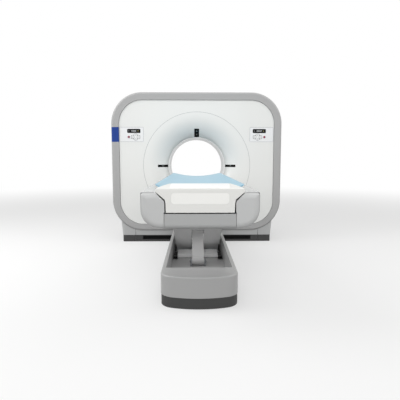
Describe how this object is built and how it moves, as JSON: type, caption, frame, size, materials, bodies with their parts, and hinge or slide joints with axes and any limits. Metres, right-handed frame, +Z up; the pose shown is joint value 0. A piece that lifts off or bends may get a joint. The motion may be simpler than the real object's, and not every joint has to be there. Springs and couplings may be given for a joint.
{
  "type": "ct scanner",
  "caption": "Medical scanner: upright rounded gantry with a round bore and flared funnels, and a patient table on a floor tray with a folding lift and a sliding cradle.",
  "frame": {"origin": "on the floor, straight below the isocentre of the bore, on the under side of the gantry's base plate", "axes": "+Y through the bore from the table towards the back, +X to the right seen from the table's foot, +Z up"},
  "size_m": [2.115, 3.395, 1.866],
  "materials": {
    "white_shell": "satin painted moulding",
    "bezel_grey": "satin silver grey paint",
    "label_blue": "satin blue film, bare",
    "window_black": "gloss",
    "scan_film": "frosted film",
    "panel_white": "satin membrane",
    "display_black": "gloss",
    "stop_red": "gloss",
    "key_grey": "satin",
    "plinth_dark": "matt",
    "vent_black": "matt",
    "frame_steel": "grey powder coat",
    "bearing_steel": "ground",
    "motor_iron": "lacquered",
    "rotor_alloy": "machined",
    "power_case": "powder coat",
    "slip_brass": "turned",
    "tray_grey": "satin grey moulding",
    "lift_steel": "satin grey paint",
    "link_steel": "satin grey paint",
    "glide_black": "matt",
    "body_grey": "satin grey moulding",
    "roller_rubber": "matt",
    "carbon_black": "carbon fibre laminate, satin",
    "slider_alloy": "machined",
    "mattress_blue": "coated fabric, light blue",
    "cap_white": "satin warm white",
    "inset_cream": "soft white"
  },
  "bodies": {
    "gantry_and_tray": {"front_cover": "white_shell", "rear_cover": "white_shell", "front_funnel": "white_shell", "rear_funnel": "white_shell", "wrap_cover_left": "white_shell", "wrap_cover_right": "white_shell", "base_cover_front": "white_shell", "base_cover_sides": "white_shell", "bore_liner_front": "white_shell", "bore_liner_rear": "white_shell", "front_bezel": "bezel_grey", "rear_bezel": "bezel_grey", "label_band": "label_blue", "laser_windows": "window_black", "scan_window": "scan_film", "control_panel_left": "panel_white", "control_panel_right": "panel_white", "panel_displays": "display_black", "plinth_front": "plinth_dark", "plinth_sides": "plinth_dark", "tray_skirt": "plinth_dark", "vent_grille": "vent_black", "base_frame": "frame_steel", "stator_frame": "frame_steel", "tray_floor": "frame_steel", "main_bearing": "bearing_steel", "carriage_tracks": "bearing_steel", "drive_motor_ring": "motor_iron", "tray_shell": "tray_grey", "lift_cylinder": "lift_steel"},
    "rotor": {"rotor_drum": "rotor_alloy", "xray_tube": "rotor_alloy", "detector_arc": "rotor_alloy", "power_units": "power_case", "slip_ring": "slip_brass"},
    "short_link": {"short_link": "link_steel"},
    "main_arm": {"main_arm": "lift_steel"},
    "tie_rods": {"tie_rods": "lift_steel"},
    "lift_carriage": {"lift_carriage": "lift_steel", "carriage_glides": "glide_black"},
    "table": {"table_frame": "frame_steel", "side_cover_left": "body_grey", "side_cover_right": "body_grey", "foot_panel": "body_grey", "belly_pan": "body_grey", "cradle_rails": "bearing_steel"},
    "support_roller": {"support_roller": "roller_rubber"},
    "cradle": {"cradle_shell": "carbon_black", "mattress": "mattress_blue", "end_cap": "cap_white", "cap_inset": "inset_cream", "cradle_slider": "slider_alloy"},
    "stop_button_left": {"stop_button_left": "stop_red"},
    "stop_button_right": {"stop_button_right": "stop_red"},
    "height_rocker_left": {"height_rocker_left": "key_grey"},
    "height_rocker_right": {"height_rocker_right": "key_grey"},
    "key_left_outer": {"key_left_outer": "key_grey"},
    "key_right_outer": {"key_right_outer": "key_grey"},
    "key_left_inner": {"key_left_inner": "key_grey"},
    "key_right_inner": {"key_right_inner": "key_grey"}
  },
  "joints": [
    {"name": "rotor_spin", "type": "hinge", "parent": "gantry_and_tray", "child": "rotor", "pos_m": [0, 0, 0.962], "axis": [0, 1, 0], "continuous": true},
    {"name": "table_lift", "type": "hinge", "parent": "gantry_and_tray", "child": "short_link", "pos_m": [0, -1.745, 0.09], "axis": [1, 0, 0], "range_deg": [-24, 7.5]},
    {"name": "arm_pivot", "type": "hinge", "parent": "short_link", "child": "main_arm", "pos_m": [0, -1.42503, 0.30501], "axis": [1, 0, 0], "range_deg": [-16, 49]},
    {"name": "table_pivot", "type": "hinge", "parent": "main_arm", "child": "table", "pos_m": [0, -1.745, 0.52002], "axis": [1, 0, 0], "range_deg": [-25, 8.5]},
    {"name": "carriage_pivot", "type": "hinge", "parent": "main_arm", "child": "lift_carriage", "pos_m": [0, -1.10506, 0.09], "axis": [1, 0, 0], "range_deg": [-25, 8.5]},
    {"name": "tie_pivot", "type": "hinge", "parent": "table", "child": "tie_rods", "pos_m": [0, -1.745, 0.60002], "axis": [1, 0, 0], "range_deg": [-8.5, 25]},
    {"name": "cradle_slide", "type": "slide", "parent": "table", "child": "cradle", "axis": [0, 1, 0], "range_m": [0, 1.7]},
    {"name": "roller_spin", "type": "hinge", "parent": "table", "child": "support_roller", "pos_m": [0, -0.585, 0.7627], "axis": [1, 0, 0], "continuous": true},
    {"name": "stop_button_left_press", "type": "slide", "parent": "gantry_and_tray", "child": "stop_button_left", "axis": [0, 1, 0], "range_m": [0, 0.004], "stiffness_N_per_m": 1500},
    {"name": "stop_button_right_press", "type": "slide", "parent": "gantry_and_tray", "child": "stop_button_right", "axis": [0, 1, 0], "range_m": [0, 0.004], "stiffness_N_per_m": 1500},
    {"name": "height_rocker_left_tilt", "type": "hinge", "parent": "gantry_and_tray", "child": "height_rocker_left", "pos_m": [-0.758, -0.4495, 1.32], "axis": [1, 0, 0], "range_deg": [-2.5, 2.5], "stiffness_Nm_per_rad": 1},
    {"name": "height_rocker_right_tilt", "type": "hinge", "parent": "gantry_and_tray", "child": "height_rocker_right", "pos_m": [0.758, -0.4495, 1.32], "axis": [1, 0, 0], "range_deg": [-2.5, 2.5], "stiffness_Nm_per_rad": 1},
    {"name": "key_left_outer_press", "type": "slide", "parent": "gantry_and_tray", "child": "key_left_outer", "axis": [0, 1, 0], "range_m": [0, 0.0015], "stiffness_N_per_m": 1500},
    {"name": "key_right_outer_press", "type": "slide", "parent": "gantry_and_tray", "child": "key_right_outer", "axis": [0, 1, 0], "range_m": [0, 0.0015], "stiffness_N_per_m": 1500},
    {"name": "key_left_inner_press", "type": "slide", "parent": "gantry_and_tray", "child": "key_left_inner", "axis": [0, 1, 0], "range_m": [0, 0.0015], "stiffness_N_per_m": 1500},
    {"name": "key_right_inner_press", "type": "slide", "parent": "gantry_and_tray", "child": "key_right_inner", "axis": [0, 1, 0], "range_m": [0, 0.0015], "stiffness_N_per_m": 1500}
  ],
  "couplings": [
    {"joint": "arm_pivot", "follows": "table_lift", "ratio": -2},
    {"joint": "table_pivot", "follows": "table_lift", "ratio": 1},
    {"joint": "carriage_pivot", "follows": "table_lift", "ratio": 1},
    {"joint": "tie_pivot", "follows": "table_lift", "ratio": -1},
    {"joint": "roller_spin", "follows": "cradle_slide", "rad_per_m": -50}
  ]
}
